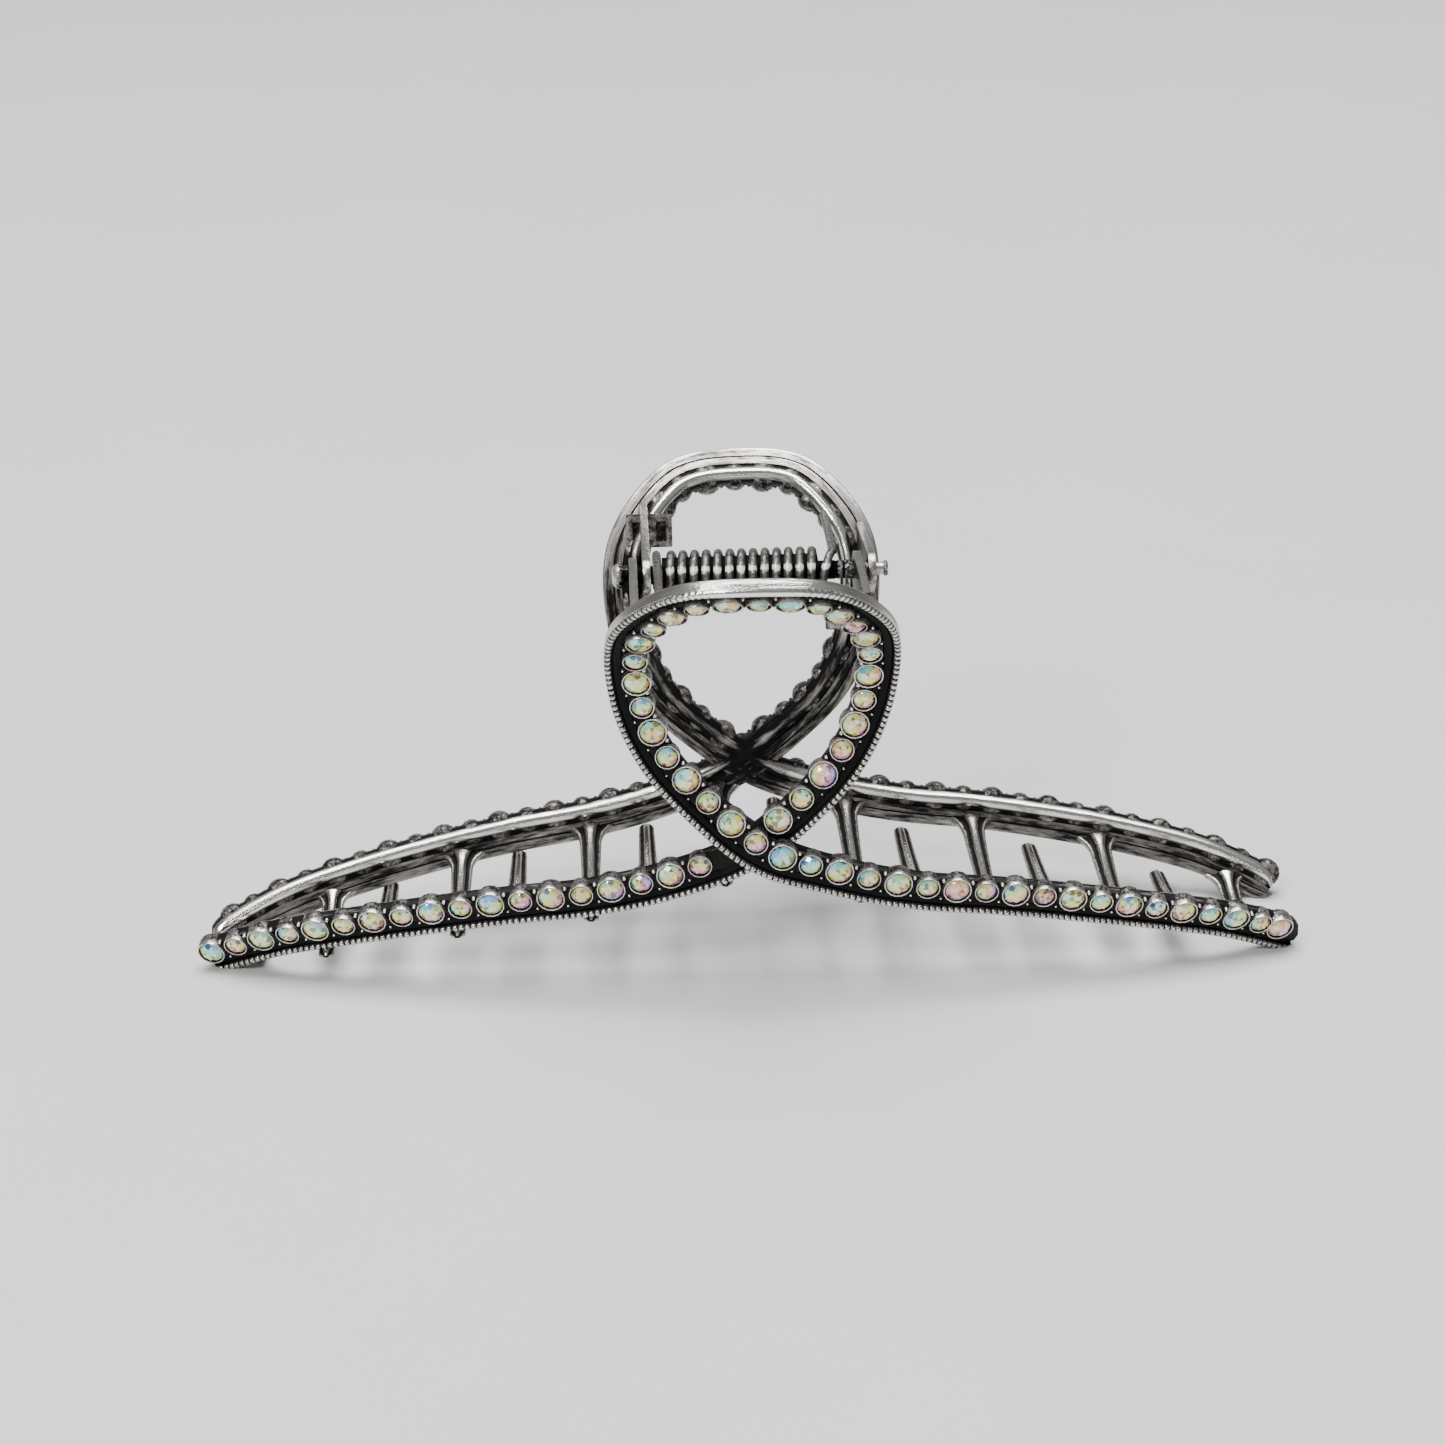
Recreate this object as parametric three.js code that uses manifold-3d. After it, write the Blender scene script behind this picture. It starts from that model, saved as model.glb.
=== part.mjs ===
// Rhinestone claw clip: two cast ribbon-loop jaws on one pin, sprung shut.
// Millimetres, +Z up. The clip stands on its four arm tips at z = 0. The front jaw faces -Y,
// the rear jaw is the same casting turned half a turn about Z.
import * as THREE from 'three';
import { mergeVertices } from 'three/addons/utils/BufferGeometryUtils.js';
import Module from 'manifold-3d';

const wasm = await Module();
wasm.setup();

// ---------------------------------------------------------------- driving dimensions
// One half of the ribbon's outer edge seen from the front, [x, z], from the grip's top
// round one side of the loop, through the crossing to an arm tip. The other half mirrors it.
const EDGE = [
  [0, 45.8], [7.8, 44.6], [13.3, 39], [13.6, 31.1], [10.9, 23.7], [5.7, 17.6], [-0.6, 12.8],
  [-8.1, 9.9], [-15.8, 8.1], [-23.7, 7.1], [-31.6, 5.8], [-39.5, 4.2], [-47.2, 2.2], [-54.5, -0.9],
];
// The jaw's side profile: its distance in front of the mid plane at every PROFILE_STEP of height.
const PROFILE = [7.8, 9.6, 10.35, 10.2, 9.55, 9.6, 11.25, 15.7, 22];
const PROFILE_STEP = 6;
const BOW = 3.9;             // how far the arm tips curve back towards the mid plane
const BOW_TIP = 0.5;         // and how much more they hook in at the very end
const HALF_LENGTH = 55;
const LEAN = 0.037;          // the jaws stand this much further open per mm towards +X

// The ribbon's section: u runs inwards from the outer edge, v outwards from the groove's floor.
const WIDTH = 4.5;
const RIM_WIDTH = 0.8;
const RIM_HEIGHT = 0.55;
const BED_START = 1.7;       // where the groove ends and the stones' bed begins
const BED_HEIGHT = 0.3;
const FLANGE_DEPTH = 0.9;    // the back of the flange and of the bed
const RAIL_START = 1.9;
const RAIL_END = 3.5;
const RAIL_DEPTH = 1.6;      // the polished rail stands this far behind
const OVER_LIFT = 1;         // the upper strand's rise where the ribbon crosses itself
const CROSSING = 5.73;       // where it does so, in steps of EDGE from the grip's top
const LIFT_REACH = 1.15;     // and how far along the ribbon the rise spreads, in the same steps
const TIP = 107;             // an arm tip's distance from the grip's top along the outer edge
const STATIONS = 40;         // lofted sections in that distance
const TIP_TAPER = 0.45;      // how much the last one narrows
const TIP_MIDDLE = 1.3;      // and the line that it narrows towards
const FLOOR_CUT = 5;

const ENAMEL_GAP = 0.06;
const ENAMEL_DEPTH = 0.22;
const ENAMEL_LONG_FROM = -14;     // the stations where the inlays stop short of the crossing
const ENAMEL_SHORT_TO = -20;

const STONE_LINE = 2.95;     // the stones' centres, from the outer edge
const STONE_GAP = 0.25;      // glue line under a stone
const STONE_HEIGHT = 0.85;
const BIG_STONE = 1.22;      // girdle radii
const SMALL_STONE = 1;
const STONE_SIDES = 6;
const STONE_BASE = 0.85;     // its underside's share of the girdle
const GIRDLE_HEIGHT = 0.3;
const TABLE = 0.55;          // the flat top's share of the girdle
const GLUE_HALF = 0.4;       // half width of the glue strip between joined stones
const GLUE_HEIGHT = 0.25;
// The long row's stones by number, with their distance along the ribbon from the grip's top.
// The stones between two of these are evenly spaced.
const LONG_PLACES = [
  [0, -37.4], [3, -28], [7, -16.5], [11, -6], [21, 22.6], [33, 58.2], [45, 93.1], [46, 95.5],
];
const LONG_STONES = 47;
const SINGLE_STONES = 23;    // stones of the long row that are their own nodes
const SHORT_FIRST = 46.35;
const SHORT_PITCH = 3;
const SHORT_STONES = 18;

const HINGE_Z = 39.95;
const PIN_RADIUS = 0.65;
const PIN_LEFT = -12.95;
const PIN_RIGHT = 13.75;
const HEAD_RADIUS = 1.2;
const HEAD_LENGTH = 1.2;
const LIP_RADIUS = 0.8;
const LIP_LENGTH = 0.4;
const BORE_RADIUS = 1;
const EAR_THICKNESS = 0.8;
const EAR_BOSS = 1.75;
const EAR_INSET = 0.9;       // how far below the outer edge an ear's root starts
const EAR_ROOT = 12.5;       // and how long it is
const EAR_SEARCH = 2.6;      // the loop's upper corner, in steps of EDGE from the grip's top
const EAR_STEPS = 5;
const EAR_BURY = 0.5;        // how far behind the casting's face they start
const FRONT_EARS = [-10.9, 10.8];
const REAR_EARS = [-9.6, 12.15];
const SEAT_SIZE = [4.6, 0.8, 3.4];
const SEAT_X = 9.1;          // the spring seat's place in the front jaw
const SEAT_REACH = 12;       // and its distance from the mid plane
const SEAT_RISE = 0.3;

const TOOTH_FIRST = -50.1;
const TOOTH_PITCH = 13.25;
const TEETH = 8;
const TOOTH_ROOT = 1.05;     // radii
const TOOTH_TIP = 0.6;
const TOOTH_BURY = 0.5;      // how far behind the casting's face the teeth start
const TOOTH_RISE = 0.5;      // how far above the arm's edge they start
const TOOTH_DROP = 0.8;      // how far under the opposite arm's edge the teeth pass
const TOOTH_BEND = 0.35;     // where a tooth levels out, as a share of its start's distance
const TOOTH_SHORT = 0.3;     // how far it ends behind the opposite arm's face
const TOOTH_STEPS = 7;
const TOOTH_SIDES = 6;
const ARM_SEARCH = 5;        // the arms start this many steps of EDGE from the grip's top

const WIRE = 0.4;            // spring wire radius
const COIL_RADIUS = 1.95;
const COIL_START = -7.65;
const COIL_PITCH = 1.133;
const COIL_TURNS = 13;
const COIL_STEPS = 10;       // straight pieces per turn
const WIRE_SIDES = 6;
const LEG_GAP = 0.5;         // the angle between the coil's end and a leg's start, in radians
const LEG_REACH = 11.2;
const LEG_DROP = 0.2;        // how far a leg sinks along its length
const LEG_STEPS = 24;
const FRONT_LEG = [-8.6, -8.6];      // x where a leg leaves the coil and where it runs straight
const REAR_LEG = [7.1, 8.3];

// ---------------------------------------------------------------- materials
const silver = new THREE.MeshStandardMaterial({ color: 0x8f8b84, roughness: 0.35, metalness: 1 });
const steel = new THREE.MeshStandardMaterial({ color: 0xa9a49c, roughness: 0.3, metalness: 1 });
const enamel = new THREE.MeshStandardMaterial({ color: 0x0a0a0b, roughness: 0.25, metalness: 0 });
const crystal = new THREE.MeshStandardMaterial({ color: 0xd9e3dd, roughness: 0.05, metalness: 0.2 });

// Turns a shape drawn in (y, z) and extruded along z into one extruded along X.
const ALONG_X = new THREE.Matrix4().makeBasis(
  new THREE.Vector3(0, 1, 0), new THREE.Vector3(0, 0, 1), new THREE.Vector3(1, 0, 0));

const clip = new THREE.Group();

function add(name, geometry, material) {
  const mesh = new THREE.Mesh(geometry, material);
  mesh.name = name;
  clip.add(mesh);
}

// ---------------------------------------------------------------- solids
function solid(geometry) {
  const bare = geometry.clone();
  bare.deleteAttribute('normal');
  bare.deleteAttribute('uv');
  const merged = mergeVertices(bare, 1e-5);
  return new wasm.Manifold(new wasm.Mesh({
    numProp: 3,
    vertProperties: new Float32Array(merged.attributes.position.array),
    triVerts: new Uint32Array(merged.index.array),
  }));
}

function geometryOf(manifold) {
  const mesh = manifold.getMesh();
  const geometry = new THREE.BufferGeometry();
  geometry.setAttribute('position', new THREE.BufferAttribute(mesh.vertProperties, 3));
  geometry.setIndex(new THREE.BufferAttribute(mesh.triVerts, 1));
  return geometry;
}

// A closed skin through rings of points, with flat ends. The outline turns anticlockwise
// in the (across, up) plane while the rings advance.
function skin(rings, outline) {
  const count = outline.length;
  const faces = [];
  for (let ring = 0; ring + 1 < rings.length; ring += 1) {
    for (let k = 0; k < count; k += 1) {
      const a = ring * count + k;
      const b = ring * count + (k + 1) % count;
      faces.push(a, a + count, b, b, a + count, b + count);
    }
  }
  const last = (rings.length - 1) * count;
  for (const [a, b, c] of THREE.ShapeUtils.triangulateShape(outline, [])) {
    faces.push(a, b, c, last + a, last + c, last + b);
  }
  const geometry = new THREE.BufferGeometry().setFromPoints(rings.flat());
  geometry.setIndex(faces);
  return facingOut(geometry);
}

// The corners of a regular polygon of unit radius.
function polygon(sides) {
  return Array.from({ length: sides }, (_, k) => new THREE.Vector2(
    Math.cos(2 * Math.PI * k / sides), Math.sin(2 * Math.PI * k / sides)));
}

function facingOut(geometry) {
  const place = geometry.attributes.position;
  const index = geometry.index.array;
  const corner = [new THREE.Vector3(), new THREE.Vector3(), new THREE.Vector3()];
  let volume = 0;
  for (let face = 0; face < index.length; face += 3) {
    corner.forEach((point, k) => point.fromBufferAttribute(place, index[face + k]));
    volume += corner[0].dot(corner[1].clone().cross(corner[2]));
  }
  if (volume < 0) index.reverse();
  return geometry;
}

// ---------------------------------------------------------------- the ribbon's route
// A smooth curve through evenly numbered values, run straight on past both ends.
function smooth(values, t) {
  const k = Math.min(Math.max(Math.floor(t), 0), values.length - 2);
  const f = t - k;
  const b = values[k];
  const c = values[k + 1];
  const a = k > 0 ? values[k - 1] : 2 * b - c;
  const d = k + 2 < values.length ? values[k + 2] : 2 * c - b;
  return b + f * ((c - a) / 2 + f * (a - 2.5 * b + 2 * c - d / 2 + f * (1.5 * (b - c) + (d - a) / 2)));
}

const ROUTE_X = [...EDGE.map(([x]) => x).reverse(), ...EDGE.slice(1).map(([x]) => -x)];
const ROUTE_Z = [...EDGE.map(([, z]) => z).reverse(), ...EDGE.slice(1).map(([, z]) => z)];
const TOP = EDGE.length - 1;         // the route's parameter at the grip's top

function reach(x, z) {
  const along = Math.abs(x) / HALF_LENGTH;
  return smooth(PROFILE, z / PROFILE_STEP) - BOW * along ** 2 - BOW_TIP * along ** 5;
}

// The front jaw's surface. lean is positive where the jaw opens towards +X.
function onSurface(x, z, lean) {
  return new THREE.Vector3(x, -reach(x, z) - lean * x, z);
}

// Place and directions at route parameter t: along the ribbon, out of it and across it.
function frameAt(t, lean) {
  const step = 0.01;
  const at = (s) => onSurface(smooth(ROUTE_X, s), smooth(ROUTE_Z, s), lean);
  const place = at(t);
  const along = at(t + step).sub(at(t - step)).normalize();
  const sideways = onSurface(place.x + step, place.z, lean).sub(place);
  const upwards = onSurface(place.x, place.z + step, lean).sub(place);
  const out = sideways.cross(upwards).normalize();
  const across = out.clone().cross(along).normalize();
  return { place, along, out, across };
}

function pointAt(frame, u, v) {
  return frame.place.clone().addScaledVector(frame.across, u).addScaledVector(frame.out, v);
}

// Pairs of route parameter and distance from the grip's top along the line u of the ribbon.
function marksAlong(u) {
  const parts = 40;
  const marks = [{ t: 0, distance: 0 }];
  let last = pointAt(frameAt(0, 0), u, 0);
  for (let k = 1; k <= 2 * TOP * parts; k += 1) {
    const t = k / parts;
    const here = pointAt(frameAt(t, 0), u, 0);
    marks.push({ t, distance: marks[k - 1].distance + here.distanceTo(last) });
    last = here;
  }
  const middle = marks[TOP * parts].distance;
  return marks.map((mark) => ({ t: mark.t, distance: mark.distance - middle }));
}

// Reads one value of the marks at a given value of the other.
function lookUp(marks, given, wanted, value) {
  const k = Math.max(1, marks.findIndex((mark) => mark[given] >= value));
  const [a, b] = [marks[k - 1], marks[k]];
  return a[wanted] + (b[wanted] - a[wanted]) * (value - a[given]) / (b[given] - a[given]);
}

const edgeMarks = marksAlong(0);
const stoneMarks = marksAlong(STONE_LINE);
const edgeRoute = (distance) => lookUp(edgeMarks, 'distance', 't', distance);
const stoneRoute = (distance) => lookUp(stoneMarks, 'distance', 't', distance);

// The strand from the loop's left side to the right arm lies on top where the strands cross.
function lift(t) {
  const f = Math.abs(t - TOP - CROSSING) / LIFT_REACH;
  return f < 1 ? OVER_LIFT * (1 + Math.cos(Math.PI * f)) / 2 : 0;
}

// ---------------------------------------------------------------- castings
const SECTION = [
  [0, -FLANGE_DEPTH], [RAIL_START, -FLANGE_DEPTH], [RAIL_START + 0.3, -RAIL_DEPTH],
  [RAIL_END - 0.3, -RAIL_DEPTH], [RAIL_END, -FLANGE_DEPTH], [WIDTH, -FLANGE_DEPTH],
  [WIDTH, BED_HEIGHT], [BED_START, BED_HEIGHT], [BED_START, 0], [RIM_WIDTH, 0],
  [RIM_WIDTH, RIM_HEIGHT], [0, RIM_HEIGHT],
];

// Lofts a section along the ribbon between two stations, numbered from the grip's top.
function strand(section, first, last, lean) {
  const rings = [];
  for (let station = first; station <= last; station += 1) {
    const distance = station * TIP / STATIONS;
    const t = edgeRoute(distance);
    const frame = frameAt(t, lean);
    const narrow = Math.abs(station) === STATIONS ? 1 - TIP_TAPER : 1;
    rings.push(section.map(([u, v]) => pointAt(
      frame,
      TIP_MIDDLE + (u - TIP_MIDDLE) * narrow,
      v + (v >= 0 ? lift(t) : 0),
    )));
  }
  return skin(rings, section.map(([u, v]) => new THREE.Vector2(u, v)));
}

// A tooth leaves the arm's lower edge, crosses the gap and ends under the opposite arm.
function tooth(x, lean) {
  const arm = Math.sign(x);
  const z = smooth(ROUTE_Z, parameterAt(x, TOP + arm * ARM_SEARCH, TOP + arm * TOP));
  const root = onSurface(x, z, lean);
  const far = reach(x, z);
  const path = new THREE.QuadraticBezierCurve3(
    root.clone().add(new THREE.Vector3(0, TOOTH_BURY, TOOTH_RISE)),
    new THREE.Vector3(x, root.y * TOOTH_BEND, z - TOOTH_DROP),
    new THREE.Vector3(x, far - TOOTH_SHORT, z - TOOTH_DROP),
  );
  const rings = [];
  for (let k = 0; k <= TOOTH_STEPS; k += 1) {
    const f = k / TOOTH_STEPS;
    const place = path.getPoint(f);
    const along = path.getTangent(f);
    const up = new THREE.Vector3(1, 0, 0).cross(along).normalize();
    const flare = TOOTH_TIP + (TOOTH_ROOT - TOOTH_TIP) * (1 - f) ** 2;
    const radius = k === TOOTH_STEPS ? flare / 2 : flare;
    const ring = [];
    for (const { x: wide, y: high } of polygon(TOOTH_SIDES)) {
      ring.push(place.clone()
        .add(new THREE.Vector3(radius * wide, 0, 0))
        .addScaledVector(up, radius * high));
    }
    rings.push(ring);
  }
  return skin(rings, polygon(TOOTH_SIDES));
}

// The route parameter where the outer edge reaches x, on a stretch that runs one way in x.
function parameterAt(x, from, to) {
  const rising = smooth(ROUTE_X, to) > smooth(ROUTE_X, from);
  let [near, far] = [from, to];
  for (let k = 0; k < 30; k += 1) {
    const middle = (near + far) / 2;
    if (smooth(ROUTE_X, middle) < x === rising) near = middle;
    else far = middle;
  }
  return near;
}

// A flat plate from the loop's inner face to the pin, rounded round the bore.
function ear(x, lean) {
  const half = EAR_THICKNESS / 2;
  const outline = new THREE.Shape();
  const root = [];
  const edge = smooth(ROUTE_Z, parameterAt(x, TOP, TOP - Math.sign(x) * EAR_SEARCH));
  for (let k = 0; k <= EAR_STEPS; k += 1) {
    const z = edge - EAR_INSET - EAR_ROOT * k / EAR_STEPS;
    root.push(new THREE.Vector2(onSurface(x, z, lean).y + EAR_BURY, z));
  }
  outline.setFromPoints(root);
  outline.absarc(0, HINGE_Z, EAR_BOSS, -Math.PI * 0.42, Math.PI * 0.55, false);
  const plate = new THREE.ExtrudeGeometry(outline, { depth: EAR_THICKNESS, bevelEnabled: false, curveSegments: 10 });
  return solid(plate.applyMatrix4(ALONG_X).translate(x - half, 0, 0));
}

function bore(x) {
  const drill = new THREE.CylinderGeometry(BORE_RADIUS, BORE_RADIUS, 3 * EAR_THICKNESS, 12);
  return solid(drill.rotateZ(Math.PI / 2).translate(x, 0, HINGE_Z));
}

// A cross plate on the inboard ear, under the grip, which the spring's leg bears on.
function springSeat() {
  const plate = new THREE.BoxGeometry(...SEAT_SIZE);
  return solid(plate.translate(SEAT_X, -SEAT_REACH, HINGE_Z + SEAT_RISE));
}

// The jaw in the front jaw's place. ears are the x of its left and right ear.
function casting(lean, ears) {
  let body = solid(strand(SECTION, -STATIONS, 0, lean)).add(solid(strand(SECTION, 0, STATIONS, lean)));
  for (let k = 0; k < TEETH; k += 1) {
    body = body.add(solid(tooth(TOOTH_FIRST + TOOTH_PITCH * k, lean)));
  }
  for (const x of ears) body = body.add(ear(x, lean));
  body = body.add(springSeat());
  for (const x of ears) body = body.subtract(bore(x));
  const floor = new THREE.BoxGeometry(4 * HALF_LENGTH, HALF_LENGTH, FLOOR_CUT).translate(0, 0, -FLOOR_CUT / 2);
  return geometryOf(body.subtract(solid(floor)));
}

// ---------------------------------------------------------------- enamel and stones
const ENAMEL = [
  [RIM_WIDTH + ENAMEL_GAP, ENAMEL_GAP], [BED_START - ENAMEL_GAP, ENAMEL_GAP],
  [BED_START - ENAMEL_GAP, ENAMEL_DEPTH], [RIM_WIDTH + ENAMEL_GAP, ENAMEL_DEPTH],
];

// A faceted stone, girdle widest, lying on the bed at a distance along the stones' line.
function stone(distance, radius, lean) {
  const t = stoneRoute(distance);
  const frame = frameAt(t, lean);
  const rise = lift(t) + BED_HEIGHT + STONE_GAP;
  const levels = [[STONE_BASE, 0], [1, GIRDLE_HEIGHT], [TABLE, STONE_HEIGHT]];
  const rings = levels.map(([wide, high]) => polygon(STONE_SIDES).map((corner) => (
    pointAt(frame, STONE_LINE, rise + high)
      .addScaledVector(frame.along, wide * radius * corner.x)
      .addScaledVector(frame.across, wide * radius * corner.y))));
  return skin(rings, polygon(STONE_SIDES));
}

// Neighbouring stones as one solid: a strip of glue that swells into each stone.
function stoneRow(stones, lean) {
  const low = BED_HEIGHT + STONE_GAP;
  const rings = [];
  const addRing = (distance, half, top, height) => {
    const t = stoneRoute(distance);
    const frame = frameAt(t, lean);
    const rise = lift(t) + low;
    rings.push([[-half, 0], [half, 0], [top, height], [-top, height]]
      .map(([u, v]) => pointAt(frame, STONE_LINE + u, rise + v)));
  };
  for (const { distance, radius } of stones) {
    const half = radius * Math.sin(Math.PI / 3);
    addRing(distance - radius, GLUE_HALF, GLUE_HALF, GLUE_HEIGHT);
    addRing(distance - radius / 2, half, half * TABLE, STONE_HEIGHT);
    addRing(distance + radius / 2, half, half * TABLE, STONE_HEIGHT);
    addRing(distance + radius, GLUE_HALF, GLUE_HALF, GLUE_HEIGHT);
  }
  const square = [[-1, -1], [1, -1], [1, 1], [-1, 1]].map(([u, v]) => new THREE.Vector2(u, v));
  return skin(rings, square);
}

const bigEven = (k) => (k % 2 ? SMALL_STONE : BIG_STONE);
const bigOdd = (k) => (k % 2 ? BIG_STONE : SMALL_STONE);

function stonesAlong(count, place, size) {
  return Array.from({ length: count }, (_, k) => ({ distance: place(k), radius: size(k) }));
}

function longPlace(k) {
  const next = Math.max(1, LONG_PLACES.findIndex(([number]) => number >= k));
  const [[first, from], [last, to]] = [LONG_PLACES[next - 1], LONG_PLACES[next]];
  return from + (to - from) * (k - first) / (last - first);
}

const LONG_ROW = stonesAlong(LONG_STONES, longPlace, bigEven);
const SHORT_ROW = stonesAlong(SHORT_STONES, (k) => -SHORT_FIRST - SHORT_PITCH * k, bigOdd).reverse();

// ---------------------------------------------------------------- hinge
function hingePin() {
  const profile = [
    [0, PIN_LEFT], [HEAD_RADIUS, PIN_LEFT], [HEAD_RADIUS, PIN_LEFT + HEAD_LENGTH],
    [PIN_RADIUS, PIN_LEFT + HEAD_LENGTH], [PIN_RADIUS, PIN_RIGHT - LIP_LENGTH],
    [LIP_RADIUS, PIN_RIGHT - LIP_LENGTH], [LIP_RADIUS, PIN_RIGHT], [0, PIN_RIGHT],
  ].map(([radius, x]) => new THREE.Vector2(radius, x));
  return new THREE.LatheGeometry(profile, 16).rotateZ(-Math.PI / 2).translate(0, 0, HINGE_Z);
}

// Spring wire swept along a route round the pin.
function wire(route, steps) {
  const section = new THREE.Shape(polygon(WIRE_SIDES).map((corner) => corner.multiplyScalar(WIRE)));
  return new THREE.ExtrudeGeometry(section, { steps, extrudePath: route, bevelEnabled: false });
}

// A place on the coil's line, its angle taken from the top towards the rear.
function onCoil(x, angle) {
  return new THREE.Vector3(x, COIL_RADIUS * Math.sin(angle), HINGE_Z + COIL_RADIUS * Math.cos(angle));
}

// The coil starts and ends under the pin.
class Coil extends THREE.Curve {
  getPoint(f) {
    return onCoil(COIL_START + COIL_PITCH * COIL_TURNS * f, Math.PI * (1 + 2 * COIL_TURNS * f));
  }
}

// The spring's end turn and its straight leg, which lies under the grip that side faces.
function springLeg([near, far], side) {
  const points = [];
  const arcSteps = 8;
  for (let k = 0; k <= arcSteps; k += 1) {
    const f = k / arcSteps;
    points.push(onCoil(near + (far - near) * f * f, -side * (Math.PI - LEG_GAP) * (1 - f)));
  }
  const top = HINGE_Z + COIL_RADIUS;
  points.push(new THREE.Vector3(far, side * LEG_REACH / 2, top));
  points.push(new THREE.Vector3(far, side * LEG_REACH, top - LEG_DROP));
  return wire(new THREE.CatmullRomCurve3(points), LEG_STEPS);
}

// ---------------------------------------------------------------- the clip
// Everything that one jaw carries. turn is 0 for the front jaw and half a turn for the rear one.
function addJaw(side, turn, lean, ears) {
  const place = (geometry) => geometry.rotateZ(turn);
  const ends = STATIONS - 1;
  add(`${side}_jaw`, place(casting(lean, ears)), silver);
  add(`${side}_enamel_long`, place(strand(ENAMEL, ENAMEL_LONG_FROM, ends, lean)), enamel);
  add(`${side}_enamel_short`, place(strand(ENAMEL, -ends, ENAMEL_SHORT_TO, lean)), enamel);
  LONG_ROW.slice(0, SINGLE_STONES).forEach(({ distance, radius }, k) => {
    const name = `${side}_stone_${String(k + 1).padStart(2, '0')}`;
    add(name, place(stone(distance, radius, lean)), crystal);
  });
  add(`${side}_stone_row_long`, place(stoneRow(LONG_ROW.slice(SINGLE_STONES), lean)), crystal);
  add(`${side}_stone_row_short`, place(stoneRow(SHORT_ROW, lean)), crystal);
}

addJaw('front', 0, LEAN, FRONT_EARS);
addJaw('rear', Math.PI, -LEAN, REAR_EARS.map((x) => -x));
add('hinge_pin', hingePin(), steel);
add('spring_coil', wire(new Coil(), COIL_TURNS * COIL_STEPS), steel);
add('spring_front_leg', springLeg(FRONT_LEG, -1), steel);
add('spring_rear_leg', springLeg(REAR_LEG, 1), steel);

export default clip;
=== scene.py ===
"""Rhinestone claw clip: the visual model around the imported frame, with its stage, lights and camera."""
from math import atan2, cos, pi, radians, sin

import bpy
import numpy as np
from mathutils import Matrix, Vector


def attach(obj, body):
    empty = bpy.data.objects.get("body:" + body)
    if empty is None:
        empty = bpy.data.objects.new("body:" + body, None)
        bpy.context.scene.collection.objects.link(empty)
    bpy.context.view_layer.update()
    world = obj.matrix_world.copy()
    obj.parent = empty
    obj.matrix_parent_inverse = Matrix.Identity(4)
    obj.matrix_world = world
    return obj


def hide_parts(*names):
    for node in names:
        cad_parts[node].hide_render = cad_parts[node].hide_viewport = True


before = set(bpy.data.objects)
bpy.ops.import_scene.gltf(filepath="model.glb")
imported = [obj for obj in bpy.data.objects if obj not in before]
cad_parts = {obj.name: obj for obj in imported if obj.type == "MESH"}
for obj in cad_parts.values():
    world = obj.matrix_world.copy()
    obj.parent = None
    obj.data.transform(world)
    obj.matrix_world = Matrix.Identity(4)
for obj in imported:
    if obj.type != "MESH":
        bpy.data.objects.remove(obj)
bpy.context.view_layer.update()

MM = 0.001
rng = np.random.default_rng(7)

# ------------------------------------------------------------------ the ribbon's route, in mm
# Half of the ribbon's outer edge, x and height, from the grip's top round one side of the
# loop and through the crossing to an arm tip. The other half mirrors it.
EDGE = np.array([
    (0, 45.8), (7.8, 44.6), (13.3, 39), (13.6, 31.1), (10.9, 23.7), (5.7, 17.6), (-0.6, 12.8),
    (-8.1, 9.9), (-15.8, 8.1), (-23.7, 7.1), (-31.6, 5.8), (-39.5, 4.2), (-47.2, 2.2), (-54.5, -0.9),
])
PROFILE = np.array([7.8, 9.6, 10.35, 10.2, 9.55, 9.6, 11.25, 15.7, 22])   # a jaw's reach every step up
PROFILE_STEP = 6
BOW = 3.9                    # how far an arm curves in, and how much more right at its tip
BOW_TIP = 0.5
HALF_LENGTH = 55
LEAN = 0.037                 # how much further a jaw reaches on one side than on the other, per mm
TOP = len(EDGE) - 1          # the route's parameter at the grip's top
TIP = 106.4                  # an arm tip's distance from there along the outer edge
STONE_LINE = 2.95            # the stones' centres, from the outer edge
CROSSING = 5.73              # where the ribbon crosses itself, in steps of EDGE
LIFT_REACH = 1.15            # how far from there the upper strand rises, in the same steps
OVER_LIFT = 1.0              # and by how much

HINGE_Z = 39.95              # the pin's height
MARKS_PER_STEP = 60
SLIGHT = 0.01                # a small step along the route or over the surface


def smooth(values, t):
    """A smooth curve through evenly numbered values, run straight on past both ends."""
    t = np.asarray(t, float)
    k = np.clip(np.floor(t).astype(int), 0, len(values) - 2)
    f = t - k
    padded = np.concatenate([[2 * values[0] - values[1]], values, [2 * values[-1] - values[-2]]])
    a, b, c, d = (padded[k + i] for i in range(4))
    return b + f * ((c - a) / 2 + f * (a - 2.5 * b + 2 * c - d / 2 + f * (1.5 * (b - c) + (d - a) / 2)))


ROUTE_X = np.concatenate([EDGE[::-1, 0], -EDGE[1:, 0]])
ROUTE_Z = np.concatenate([EDGE[::-1, 1], EDGE[1:, 1]])


def unit(vectors):
    """Vectors cut or stretched to a length of 1."""
    return vectors / np.linalg.norm(vectors, axis=-1, keepdims=True)


def on_surface(x, z, lean):
    """Points of the front jaw's outer surface at x and height z."""
    along = np.abs(x) / HALF_LENGTH
    reach = smooth(PROFILE, z / PROFILE_STEP) - BOW * along**2 - BOW_TIP * along**5
    return np.stack([x, -reach - lean * x, z], -1)


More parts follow.
